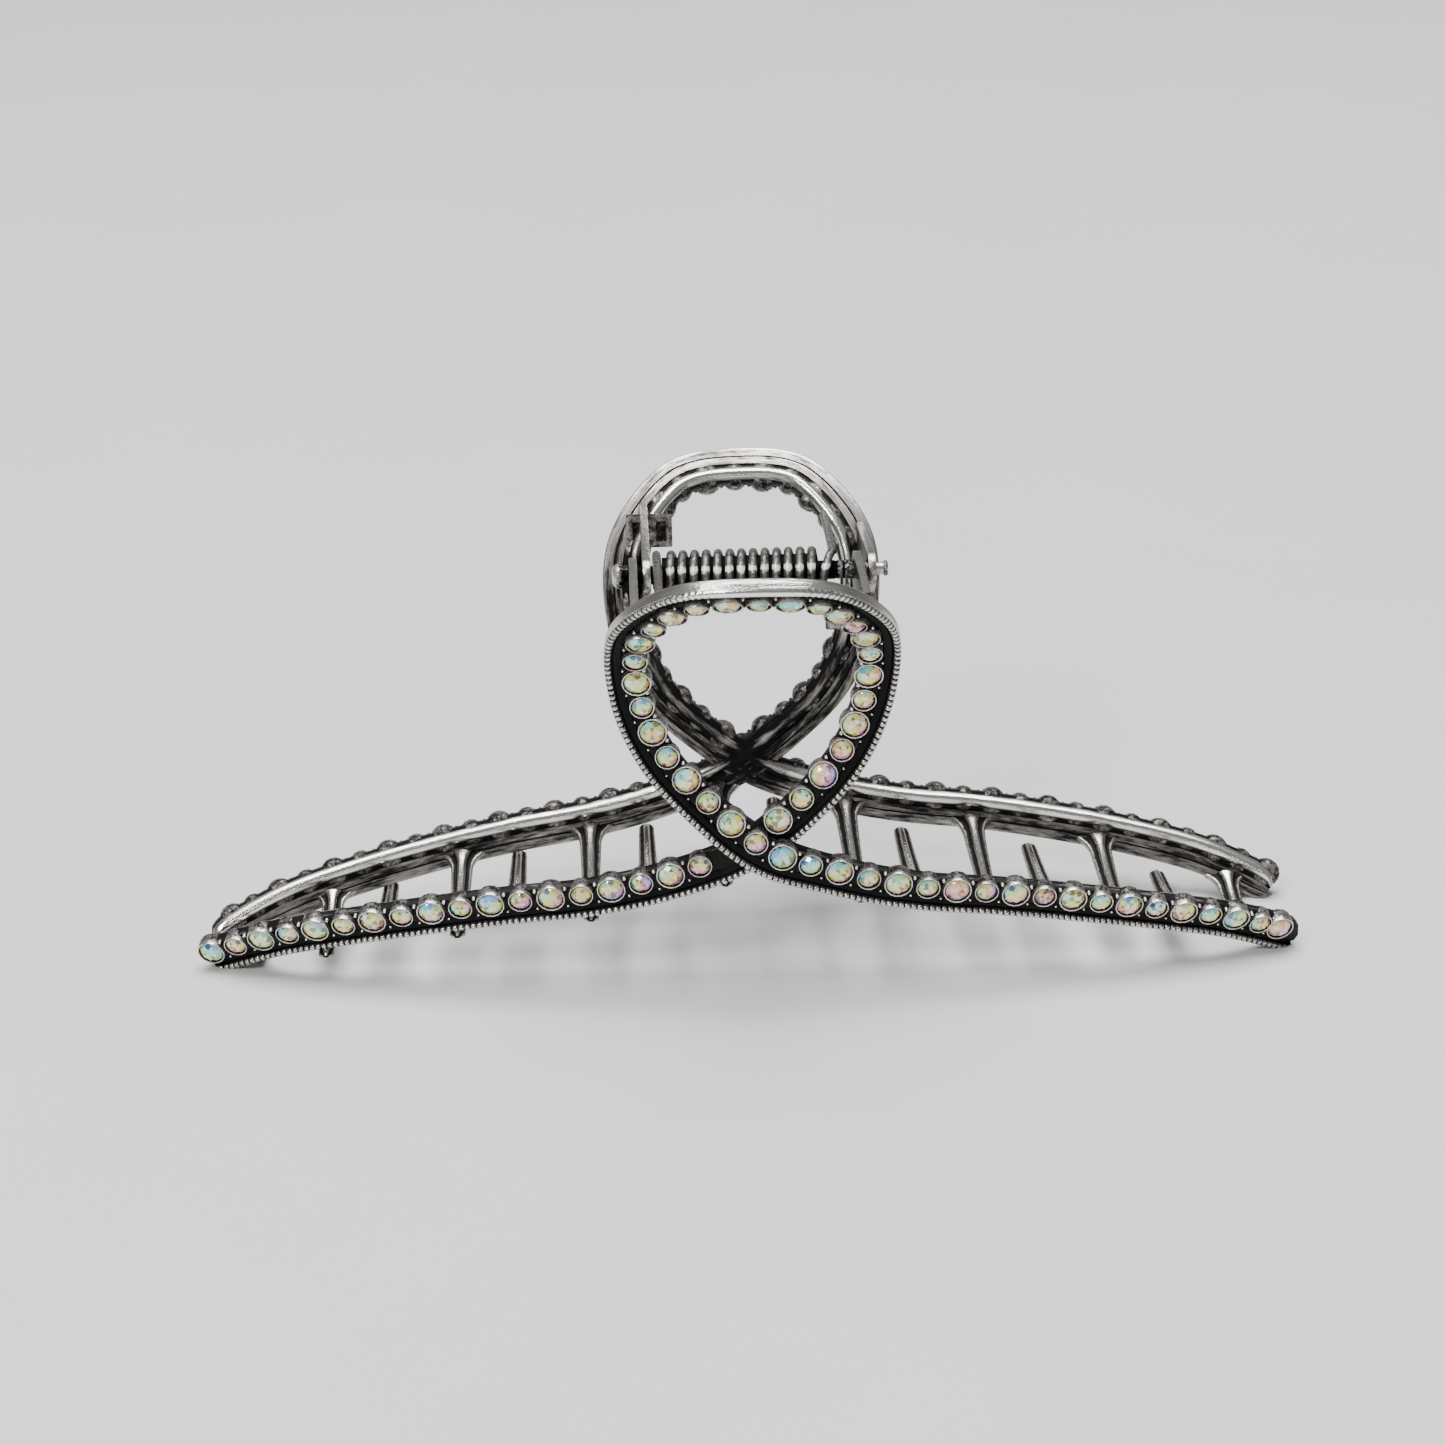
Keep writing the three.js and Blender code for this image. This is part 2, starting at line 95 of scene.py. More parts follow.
def route_frames(t, lean):
    """Places on the outer edge and directions along the ribbon, out of it and inwards across it."""

    def at(s):
        return on_surface(smooth(ROUTE_X, s), smooth(ROUTE_Z, s), lean)

    place = at(t)
    along = unit(at(t + SLIGHT) - at(t - SLIGHT))
    x, z = place[..., 0], place[..., 2]
    sideways = on_surface(x + SLIGHT, z, lean) - place
    upwards = on_surface(x, z + SLIGHT, lean) - place
    out = unit(np.cross(sideways, upwards))
    return place, along, out, unit(np.cross(out, along))


def marks(u):
    """Route parameters and their distances from the grip's top along the line u of the ribbon."""
    t = np.arange(2 * TOP * MARKS_PER_STEP + 1) / MARKS_PER_STEP
    place, _, _, across = route_frames(t, 0)
    steps = np.linalg.norm(np.diff(place + u * across, axis=0), axis=1)
    distance = np.concatenate([[0], np.cumsum(steps)])
    return distance - distance[TOP * MARKS_PER_STEP], t


EDGE_MARKS = marks(0)
STONE_MARKS = marks(STONE_LINE)


def lift(t):
    """How far the upper strand rises where the strands cross."""
    f = np.clip(np.abs(t - TOP - CROSSING) / LIFT_REACH, 0, 1)
    return OVER_LIFT * (1 + np.cos(pi * f)) / 2


# ------------------------------------------------------------------ the two jaws
class Jaw:
    """One jaw's name, turn about Z, lean, and the x of its ears in the front jaw's place."""

    def __init__(self, side, turned, ears):
        self.side = side
        self.body = side + "_jaw"
        self.sign = -1 if turned else 1
        self.lean = self.sign * LEAN
        self.ears = ears

    def world(self, points):
        """Points in mm in the front jaw's place, as metres in this jaw's place."""
        return points * np.array([self.sign, self.sign, 1]) * MM


FRONT = Jaw("front", False, (-10.9, 10.8))
REAR = Jaw("rear", True, (-12.15, 9.6))


# ------------------------------------------------------------------ making meshes
def linked(data):
    """A new object with this mesh, alone selected and active."""
    piece = bpy.data.objects.new(data.name, data)
    bpy.context.scene.collection.objects.link(piece)
    bpy.ops.object.select_all(action="DESELECT")
    piece.select_set(True)
    bpy.context.view_layer.objects.active = piece
    return piece


def mesh_piece(name, vertices, faces, wear_and_light, angle=35, grain=None):
    """A finished mesh, faces outwards, smooth but for edges sharper than the angle.

    Its finish follows two attributes: wear, which also carries painted shade and painted highlights in
    places, and grain, the place in mm in its texture.
    """
    data = bpy.data.meshes.new(name)
    data.from_pydata([tuple(v) for v in vertices], [], faces)
    layer = data.attributes.new("wear_and_light", "FLOAT", "POINT")
    layer.data.foreach_set("value", np.array(wear_and_light, np.float32))
    grain = np.asarray(vertices) / MM if grain is None else grain
    data.attributes.new("grain", "FLOAT_VECTOR", "POINT").data.foreach_set("vector", grain.ravel())
    piece = linked(data)
    bpy.ops.object.mode_set(mode="EDIT")
    bpy.ops.mesh.select_all(action="SELECT")
    bpy.ops.mesh.normals_make_consistent(inside=False)
    bpy.ops.object.mode_set(mode="OBJECT")
    bpy.ops.object.shade_smooth_by_angle(angle=radians(angle))
    return piece


def skin(rings):
    """Vertices and faces of a closed skin through an array of rings, capped at both ends."""
    count, around, _ = rings.shape
    here = np.arange(around)
    corners = np.stack([here, np.roll(here, -1), np.roll(here, -1) + around, here + around], -1)
    quads = (corners[None] + np.arange(count - 1)[:, None, None] * around).reshape(-1, 4)
    ends = [here[::-1].tolist(), (here + (count - 1) * around).tolist()]
    return rings.reshape(-1, 3), quads.tolist() + ends


def joined(parts):
    """One list of vertices, faces and wear values, with their painted shade and highlights, from several.
    """
    vertices, faces, wear_and_light, start = [], [], [], 0
    for part_vertices, part_faces, part_wear_and_light in parts:
        vertices.append(part_vertices)
        faces.extend([[index + start for index in face] for face in part_faces])
        wear_and_light.append(np.broadcast_to(part_wear_and_light, len(part_vertices)))
        start += len(part_vertices)
    return np.concatenate(vertices), faces, np.concatenate(wear_and_light)


def turned(name, profile, sides):
    """A (radius, height, wear) profile spun round Z, from pole to pole; the wear values may also carry
    painted shade.
    """
    data = bpy.data.meshes.new(name)
    edges = [(k, k + 1) for k in range(len(profile) - 1)]
    data.from_pydata([(radius, 0, height) for radius, height, _ in profile], edges, [])
    layer = data.attributes.new("wear_and_light", "FLOAT", "POINT")
    layer.data.foreach_set("value", [wear_and_light for _, _, wear_and_light in profile])
    piece = linked(data)
    bpy.ops.object.mode_set(mode="EDIT")
    bpy.ops.mesh.select_all(action="SELECT")
    bpy.ops.mesh.spin(steps=sides, angle=2 * pi, center=(0, 0, 0), axis=(0, 0, 1))
    bpy.ops.mesh.select_all(action="SELECT")
    bpy.ops.mesh.remove_doubles(threshold=1e-4)
    bpy.ops.mesh.normals_make_consistent(inside=False)
    bpy.ops.object.mode_set(mode="OBJECT")
    return piece


def taken(pattern):
    """Vertices, faces and wear, with any painted shade and highlights, of a pattern piece, which is then
    thrown away.
    """
    data = pattern.data
    vertices = np.array([v.co for v in data.vertices])
    faces = [list(polygon.vertices) for polygon in data.polygons]
    wear_and_light = np.ones(len(vertices), np.float32)
    if "wear_and_light" in data.attributes:
        data.attributes["wear_and_light"].data.foreach_get("value", wear_and_light)
    bpy.data.objects.remove(pattern)
    return vertices, faces, wear_and_light


# ------------------------------------------------------------------ the cast band
# The band's section: u inwards from the outer edge, v outwards from the groove's floor, and
# wear, from 0 where the plating stays black to 1 where it is rubbed bright.
BAND = np.array([
    (0.00, -0.78, 0.50), (0.00, -0.35, 0.70), (0.00, 0.10, 0.70), (0.10, 0.20, 0.35),
    (0.72, 0.20, 0.00), (0.80, 0.00, -0.2), (1.22, -0.03, -0.2), (1.30, 0.05, 0.10),
    (1.38, 0.00, -0.2), (1.60, 0.00, -0.2), (1.72, 0.24, 0.05), (1.90, 0.28, -0.1),
    (3.60, 0.28, -0.1), (3.84, 0.20, 0.10), (3.95, 0.00, 0.15), (3.95, -0.50, 0.10),
    (3.93, -0.74, -0.1), (3.82, -0.78, -0.3), (3.74, -0.90, 0.25), (3.62, -1.20, 0.75),
    (3.38, -1.44, 1.30), (3.05, -1.54, 1.50), (2.72, -1.44, 1.30), (2.48, -1.20, 0.75),
    (2.34, -0.90, 0.15), (2.24, -0.76, -0.3), (1.98, -0.76, -0.2), (1.88, -0.92, 0.40),
    (1.30, -0.96, 0.32), (1.18, -0.94, 0.30), (1.12, -0.80, -0.2), (1.04, -0.80, -0.2),
    (0.98, -0.92, 0.42), (0.50, -0.94, 0.36), (0.12, -0.90, 0.50),
])
BAND_STEP = 0.6
TIP_LENGTH = 2.4              # the arm's last stretch, which narrows to a rounded tip
TIP_TAPER = 0.55              # by this share
TIP_MIDDLE = 1.3              # about this u
STRAND_FROM = -0.1            # v from which the section rises with the upper strand


def along_route(section, distances, jaw):
    """Rings of a (u, v) section, or of one section for each distance along the outer edge."""
    t = np.interp(distances, *EDGE_MARKS)
    place, _, out, across = route_frames(t, jaw.lean)
    near_tip = np.clip(1 - (TIP - np.abs(distances)) / TIP_LENGTH, 0, 1)
    narrow = 1 - TIP_TAPER * (1 - np.sqrt(1 - near_tip**2))
    u = TIP_MIDDLE + (section[..., 0] - TIP_MIDDLE) * narrow[:, None]
    v = section[..., 1] + lift(t)[:, None] * (section[..., 1] >= STRAND_FROM)
    rings = place[:, None] + u[..., None] * across[:, None] + v[..., None] * out[:, None]
    return jaw.world(rings)


RAIL_BASE = -0.78             # v where the rail starts
RAIL_SIDE = -1.0              # and where its sides end
BACK = -0.3                   # v where the band's back starts
CROSSING_SPREAD = 0.55        # how far from the crossing the rail flattens, in steps of EDGE
CROSSING_FLAT = 0.75          # and by what share
LOOP_BACK = (2.7, 5.9)        # where the loop's back is painted dark as shade, in the same steps
SHORT_SIDE = 1.3              # how much sooner this starts towards the short row
GRIP_BACK = 2.6               # up to where the flange's back is rubbed light
FADE = 0.8                    # over how many steps these two begin and end
CROSSING_SHADE = (0.2, 1.15)       # painted shade where the strands cross: brightness lost there, and how much more on the rail
LOOP_BACK_SHADE = (0.1, 0.95)       # the same, as painted shade on the loop's back
GRIP_WEAR = 0.2               # wear gained on the flange's back
RIM_WEAR_AND_HIGHLIGHT = 0.9                # brightness gained on the rim at the grip's top, partly wear and partly a painted highlight
RIM = slice(1, 4)             # the rim's points in BAND
STREAK = 7                    # how much longer than wide the plating's marks are
WORN = 7                      # the rim and its beads are worn smooth this near the grip's top, in mm
WORN_PEAK = 1.4


def worn_share(distances):
    """How much of the rim is worn away, from 1 at the grip's top to 0 down its sides."""
    return np.clip(WORN_PEAK - np.abs(distances) / WORN, 0, 1)


def cast_band(jaw):
    """The ribbon-shaped casting with its grooves, ridges and polished rail."""
    parts, grain = [], []
    steps = round(TIP / BAND_STEP)
    behind = BAND[:, 1] < RAIL_BASE
    rail = BAND[:, 1] < RAIL_SIDE
    for start, end in ((-TIP, 0), (0, TIP)):
        distances = np.linspace(start, end, steps + 1)
        route = np.abs(np.interp(distances, *EDGE_MARKS) - TOP)
        begin = LOOP_BACK[0] - SHORT_SIDE * (start < 0)
        sunk = np.exp(-((route - CROSSING) / CROSSING_SPREAD) ** 2)[:, None]
        dark = np.clip(np.minimum(route - begin, LOOP_BACK[1] - route) / FADE, 0, 1)[:, None]
        section = np.repeat(BAND[None], len(distances), 0)
        section[..., 1] -= behind * (section[..., 1] - RAIL_BASE) * CROSSING_FLAT * sunk
        # Painted shade on the band's back where the strands cross.
        crossing_shade = (CROSSING_SHADE[0] + CROSSING_SHADE[1] * rail) * sunk
        # Painted shade on the loop's back below the pin.
        loop_back_shade = (LOOP_BACK_SHADE[0] + LOOP_BACK_SHADE[1] * rail) * dark
        polished = GRIP_WEAR * (behind & ~rail) * np.clip((GRIP_BACK - route) / FADE, 0, 1)[:, None]
        section[..., 2] += polished - (BAND[:, 1] < BACK) * np.maximum(crossing_shade, loop_back_shade)
        # The rim at the grip's top is whitened, partly as wear and partly as a painted highlight.
        section[:, RIM, 2] += RIM_WEAR_AND_HIGHLIGHT * worn_share(distances)[:, None]
        vertices, faces = skin(along_route(section, distances, jaw))
        parts.append((vertices, faces, section[..., 2].ravel()))
        section[..., 2] = distances[:, None] / STREAK
        grain.append(section.reshape(-1, 3))
    return mesh_piece(jaw.side + "_band", *joined(parts), grain=np.concatenate(grain))


BEAD_PITCH = 0.62
BEAD_STATIONS = 6
BEAD_END = 0.3
BEAD_NECK = 0.68              # the row's size between two beads, as a share of its size on one
BEAD_WORN = 0.4               # how much more it swells where it is worn smooth
BEAD_MIDDLE = np.array([0.37, 0.10])
BEAD = np.array([
    (0.03, 0.10), (0.02, 0.38), (0.16, 0.56), (0.38, 0.62), (0.58, 0.54), (0.70, 0.34), (0.70, 0.10),
])


def beaded_edge(jaw):
    """The row of tiny cast beads along the outer edge."""
    reach = TIP - BEAD_END
    count = round(2 * reach / BEAD_PITCH)
    phase = np.arange(count * BEAD_STATIONS + 1) / BEAD_STATIONS
    distances = (2 * phase / count - 1) * reach
    worn = worn_share(distances)
    swell = np.maximum(np.abs(np.sin(pi * phase)) ** 0.5, worn)
    size = BEAD_NECK + (1 - BEAD_NECK) * swell + BEAD_WORN * worn
    sections = (BEAD - BEAD_MIDDLE)[None] * size[:, None, None] + BEAD_MIDDLE
    vertices, faces = skin(along_route(sections, distances, jaw))
    height = (BEAD[:, 1] - BEAD[0, 1]) / np.ptp(BEAD[:, 1])
    wear_and_light = (0.2 + 0.75 * np.sqrt(height))[None, :] * swell[:, None] ** 1.5 + 0.6 * worn[:, None]
    return mesh_piece(jaw.side + "_beaded_edge", vertices, faces, wear_and_light.ravel(), angle=70)


ENAMEL = np.array([(0.84, 0.05), (0.90, 0.17), (1.05, 0.20), (1.45, 0.20), (1.60, 0.17), (1.66, 0.05)])
ENAMEL_LONG_FROM = -14        # the inlays stop short of the crossing, in stations of the CAD's loft
ENAMEL_SHORT_TO = -20
ENAMEL_END = 38.6
STATION = TIP / 40            # one of those stations, in mm


def enamel(name, jaw, first, last):
    """Black enamel poured into the groove beside the beads."""
    count = round((last - first) * STATION / BAND_STEP)
    distances = np.linspace(first, last, count) * STATION
    vertices, faces = skin(along_route(ENAMEL[None], distances, jaw))
    return mesh_piece(name, vertices, faces, np.zeros(len(vertices)))


# ------------------------------------------------------------------ cups and prongs
# The long row's stones by number, with their distance along the ribbon from the grip's top.
# The stones between two of these are evenly spaced.
LONG_PLACES = np.array([
    (0, -37.4), (3, -28), (7, -16.5), (11, -6), (21, 22.6), (33, 58.2), (45, 93.1), (46, 95.5),
])
LONG_STONES = 47
SINGLE_STONES = 23            # stones of the long row that are their own nodes
SHORT_FIRST = -46.35
SHORT_PITCH = 3
SHORT_STONES = 18
BIG, SMALL = 1.22, 1.0        # stone radii, by turns
CUP_WALL = 0.23

LONG_ROW = np.interp(np.arange(LONG_STONES), *LONG_PLACES.T)
SHORT_ROW = SHORT_FIRST - SHORT_PITCH * np.arange(SHORT_STONES)
LONG_RADII = np.where(np.arange(LONG_STONES) % 2, SMALL, BIG)
SHORT_RADII = np.where(np.arange(SHORT_STONES) % 2, BIG, SMALL)
ROWS = ((LONG_ROW, LONG_RADII), (SHORT_ROW, SHORT_RADII))


def seats(distances, jaw, u=STONE_LINE):
    """Centres and axes of places on the ribbon: along it, across it and out of it."""
    t = np.interp(distances, *STONE_MARKS)
    place, along, out, across = route_frames(t, jaw.lean)
    along = unit(along - (along * out).sum(-1, keepdims=True) * out)
    return place + u * across + lift(t)[:, None] * out, along, np.cross(out, along), out


def copied(pattern, places, scales, heights=None):
    """A pattern's vertices, faces and wear at each place, wider or narrower by its scale."""
    vertices, faces, wear_and_light = pattern
    heights = np.ones(len(scales)) if heights is None else heights
    parts = []
    for centre, along, across, out, scale, height in zip(*places, scales, heights):
        sized = vertices * (scale, scale, height)
        parts.append((centre + sized @ np.stack([along, across, out]), faces, wear_and_light))
    return parts


# The cup's radii are shares of its outer radius, its heights are mm from the groove's floor.
CUP = [
    (0.00, -1.10, 0.35), (0.30, -1.08, 0.35), (0.62, -1.00, 0.35), (0.84, -0.86, 0.30), (0.98, -0.62, 0.25),
    (1.03, -0.30, 0.30), (1.00, 0.30, 0.30), (1.00, 0.66, 0.60), (0.96, 0.80, 0.95), (0.90, 0.80, 0.80),
    (0.86, 0.68, 0.00), (0.84, 0.40, -0.2), (0.00, 0.40, -0.2),
]
CUP_SIDES = 16


def cups(jaw):
    """The cast cups, domed behind, that hold the stones."""
    pattern = taken(turned("cup", CUP, CUP_SIDES))
    parts = []
    for distances, radii in ROWS:
        parts += copied(pattern, seats(distances, jaw), radii + CUP_WALL)
    vertices, faces, wear_and_light = joined(parts)
    return mesh_piece(jaw.side + "_cups", jaw.world(vertices), faces, wear_and_light, angle=50)


PRONG = [(0.00, 0.64, 1.1), (0.11, 0.62, 1.1), (0.20, 0.54, 1.0), (0.24, 0.40, 0.6), (0.24, 0.15, 0.1),
         (0.00, 0.15, 0.0)]
PRONG_LINES = ((-1.2, 0.65), (0.80, 0.85))   # the beads' places from the stones' line and their scales


def prongs(jaw):
    """The tiny cast beads on both sides of every gap between two cups."""
    pattern = taken(turned("prong", PRONG, 8))
    parts = []
    for distances, _ in ROWS:
        gaps = (distances[1:] + distances[:-1]) / 2
        for offset, scale in PRONG_LINES:
            parts += copied(pattern, seats(gaps, jaw, STONE_LINE + offset), np.full(len(gaps), scale))
    vertices, faces, wear_and_light = joined(parts)
    return mesh_piece(jaw.side + "_prongs", jaw.world(vertices), faces, wear_and_light, angle=60)


# ------------------------------------------------------------------ faceted stones
# Each round of facets on a stone of unit radius: how many, turned by what share of one, the
# facets' slope, and the radius at which they meet the girdle's plane.
FACET_ROUNDS = ((8, 0, 0.844, 1.0), (8, 0.5, 0.548, 1.201), (16, 0.5, 1.12, 0.981))
GIRDLE_SIDES = 16
GIRDLE_DEPTH = 0.14
TABLE_HEIGHT = 0.38
TINY_EDGE = 0.002             # facet edges shorter than this are merged away
STONE_LEVEL = 0.58            # the girdle's height above the groove's floor, in mm


def cut_stone():
    """A brilliant-cut stone of unit radius, its girdle's top at z = 0."""
    depth = GIRDLE_DEPTH + TABLE_HEIGHT
    bpy.ops.object.select_all(action="DESELECT")
    bpy.ops.mesh.primitive_cylinder_add(
        vertices=GIRDLE_SIDES, radius=1, depth=depth, location=(0, 0, TABLE_HEIGHT - depth / 2))
    bpy.ops.object.transform_apply(location=True)
    stone = bpy.context.object
    bpy.ops.object.mode_set(mode="EDIT")
    for count, turn, slope, reach in FACET_ROUNDS:
        for k in range(count):
            angle = 2 * pi * (k + turn) / count
            facing = Vector((slope * cos(angle), slope * sin(angle), 1)).normalized()
            place = (reach * cos(angle), reach * sin(angle), 0)
            bpy.ops.mesh.select_all(action="SELECT")
            bpy.ops.mesh.bisect(plane_co=place, plane_no=facing, use_fill=True, clear_outer=True)
    bpy.ops.mesh.select_all(action="SELECT")
    bpy.ops.mesh.remove_doubles(threshold=TINY_EDGE)
    bpy.ops.mesh.select_all(action="DESELECT")
    bpy.ops.object.mode_set(mode="OBJECT")
    for polygon in stone.data.polygons:
        polygon.select = polygon.normal.z > 0.999
    bpy.ops.object.mode_set(mode="EDIT")
    bpy.ops.mesh.poke()
    bpy.ops.object.mode_set(mode="OBJECT")
    return stone


# The coating's colours in their order round a stone.
AURORA = np.array([
    (1.00, 0.90, 0.12), (0.58, 0.95, 0.30), (0.08, 0.85, 0.90), (0.08, 0.28, 0.98),
    (0.42, 0.25, 0.96), (0.98, 0.25, 0.62), (1.00, 0.45, 0.15),
])
TABLE_HUE = 7.0               # a place in AURORA
DARK_SHARE = 0.18             # the share of facets that catch no light
DARK_SHADE = 0.3
PALEST = 0.9


def coating(centres, upwards):
    """Colours for a stone's facets: a drift of hues up across it, paler and darker by facet."""
    start = TABLE_HUE + rng.normal(0, 0.9)
    drift = upwards + rng.normal(0.5, 0.6)
    span = rng.uniform(0.8, 2.8)
    across = centres[:, 0] * cos(drift) + centres[:, 1] * sin(drift)
    hue = start + span * across + rng.normal(0, 0.5, len(centres))
    low = np.floor(hue).astype(int)
    share = (hue - low)[:, None]
    count = len(AURORA)
    tint = AURORA[low % count] * (1 - share) + AURORA[(low + 1) % count] * share
    pale = rng.beta(0.7, 1.8, len(centres))[:, None] * PALEST
    each = (len(centres), 1)
    shade = np.where(rng.uniform(size=each) < DARK_SHARE, DARK_SHADE, 1) * rng.uniform(0.8, 1, each)
    return (tint * (1 - pale) + pale) * shade


def stones(name, jaw, distances, radii, pattern):
    """A run of stones, each facet with its own colour of the aurora coating."""
    vertices, faces, wear_and_light = pattern
    facet_centres = np.array([vertices[face].mean(0) for face in faces])
    colours, spun = [], []
    centres, along, across, out = seats(distances, jaw)
    centres = centres + STONE_LEVEL * out
    for k, radius in enumerate(radii):
        turn = rng.uniform(0, 2 * pi)
        side = cos(turn) * along[k] + sin(turn) * across[k]
        rise = np.cross(out[k], side)
        place = (centres[k:k + 1], side[None], rise[None], out[k:k + 1])
        spun += copied(pattern, place, [radius], [radius])
        colours.append(coating(facet_centres, atan2(rise[2], side[2])))
    piece = mesh_piece(name, *joined([(jaw.world(v), f, w) for v, f, w in spun]), angle=1)
    layer = piece.data.attributes.new("aurora", "FLOAT_COLOR", "FACE")
    colours = np.concatenate(colours)
    layer.data.foreach_set("color", np.column_stack([colours, np.ones(len(colours))]).ravel())
    return piece


# ------------------------------------------------------------------ teeth
TOOTH_FIRST = -50.1
TOOTH_PITCH = 13.25
TEETH = 8
# A tooth's section: shares of its half width, mm above its path, and wear.
TOOTH = np.array([
    (-1.00, -0.25, 0.50), (-1.00, 0.10, 0.70), (-0.86, 0.26, 0.60), (-0.62, 0.20, -0.2),
    (-0.44, 0.26, -0.2), (-0.36, 0.56, 0.40), (-0.14, 0.74, 1.10), (0.14, 0.74, 1.10),
    (0.36, 0.56, 0.40), (0.44, 0.26, -0.2), (0.62, 0.20, -0.2), (0.86, 0.26, 0.60),
    (1.00, 0.10, 0.70), (1.00, -0.25, 0.50), (0.60, -0.48, 0.10), (-0.60, -0.48, 0.10),
])
TOOTH_WIDTH = (1.20, 0.78)    # half widths at the root and at the tip
TOOTH_FLARE = 1.1             # how much wider a tooth is where it leaves the rail
FLARE_END = 0.22              # the share of its length where this has faded out
FLARE_POWER = 2.2
TOOTH_THIN = 0.4              # the share of its height that it loses by its tip
TOOTH_ROUND = 0.96            # the share of its length where its end starts to round off
ROUND_SPAN = 0.044            # and the share that this takes, just too much for its end to close to a point
TOOTH_RISE = 1.2              # the root's height over the outer edge, and its depth behind the face
TOOTH_DEPTH = 0.7
TOOTH_BEND = 0.35             # where a tooth turns level, as a share of the arm's reach
TOOTH_DROP = 0.5              # how far its level run is under the outer edge
TOOTH_SHORT = 0.3             # how far it ends behind the opposite arm's face
ARM_SEARCH = 5                # the arm's first step of EDGE, counted from the grip's top
TOOTH_STEPS = 40
EDGE_STEPS = 400


def edge_height(x, first, last):
    """The outer edge's height at x, on a stretch of the route that runs one way in x."""
    t = np.linspace(first, last, EDGE_STEPS)
    edge_x = smooth(ROUTE_X, t)
    order = np.argsort(edge_x)
    return float(np.interp(x, edge_x[order], smooth(ROUTE_Z, t)[order]))


def tooth(x, jaw):
    """A ridged tooth from the back of the arm across to the opposite arm, flared at its root."""
    arm = 1 if x > 0 else -1
    z = edge_height(x, TOP + arm * ARM_SEARCH, TOP + arm * TOP)
    root = on_surface(x, z + TOOTH_RISE, jaw.lean)
    far = -on_surface(x, z, 0)[1]
    start = root + (0, TOOTH_DEPTH, 0)
    bend = np.array([x, root[1] * TOOTH_BEND, z - TOOTH_DROP])
    end = np.array([x, far - TOOTH_SHORT, z - TOOTH_DROP])
    f = np.linspace(0, 1, TOOTH_STEPS)[:, None]
    place = start * (1 - f) ** 2 + bend * 2 * f * (1 - f) + end * f**2
    along = unit((bend - start) * (1 - f) + (end - bend) * f)
    up = np.cross((1, 0, 0), along)
    flare = TOOTH_FLARE * np.clip(1 - f / FLARE_END, 0, 1) ** FLARE_POWER
    rounding = np.sqrt(1 - np.clip((f - TOOTH_ROUND) / ROUND_SPAN, 0, 1) ** 2)
    wide = (TOOTH_WIDTH[0] * (1 - f) + TOOTH_WIDTH[1] * f + flare) * rounding
    high = (1 - TOOTH_THIN * f) * rounding
    rings = (place[:, None]
             + (wide * TOOTH[:, 0])[..., None] * np.array([1, 0, 0])
             + (high * TOOTH[:, 1])[..., None] * up[:, None])
    vertices, faces = skin(rings)
    wear_and_light = np.repeat(TOOTH[None, :, 2], TOOTH_STEPS, 0)
    return jaw.world(vertices), faces, wear_and_light.ravel()


def teeth(jaw):
    """A jaw's row of teeth."""
    parts = [tooth(TOOTH_FIRST + TOOTH_PITCH * k, jaw) for k in range(TEETH)]
    return mesh_piece(jaw.side + "_teeth", *joined(parts), angle=60)


# ------------------------------------------------------------------ hinge ears and spring seat
EAR_THICKNESS = 0.8
EAR_BOSS = 1.75               # the radius round the bore
EAR_FROM = -0.42 * pi         # the angles where that rounding starts and ends
EAR_TO = 0.55 * pi
EAR_INSET = 0.9               # how far under the outer edge an ear's root starts
EAR_ROOT = 12.5               # and how far down it runs
EAR_SEARCH = 2.6              # how many steps of EDGE down from the grip's top it is looked for
EAR_BURY = 0.5                # how deep it starts inside the band
EAR_BEVEL = 0.12
EAR_WEAR = (0.05, 0.65)       # on its flat sides and on its edges
BORE_RADIUS = 1.0
BORE_SIDES = 28
SEAT_SIZE = (4.6, 0.8, 3.4)
SEAT_X = 9.1
SEAT_REACH = 12
SEAT_RISE = 0.3               # over the pin's axis
SEAT_BEVEL = 0.28
SEAT_WEAR = (0.2, 0.45)       # in its pockets and on the rest
POCKET_RIM = 0.68
POCKET_DEPTH = 0.3
SHARP = 40                    # edges sharper than this are bevelled, in degrees


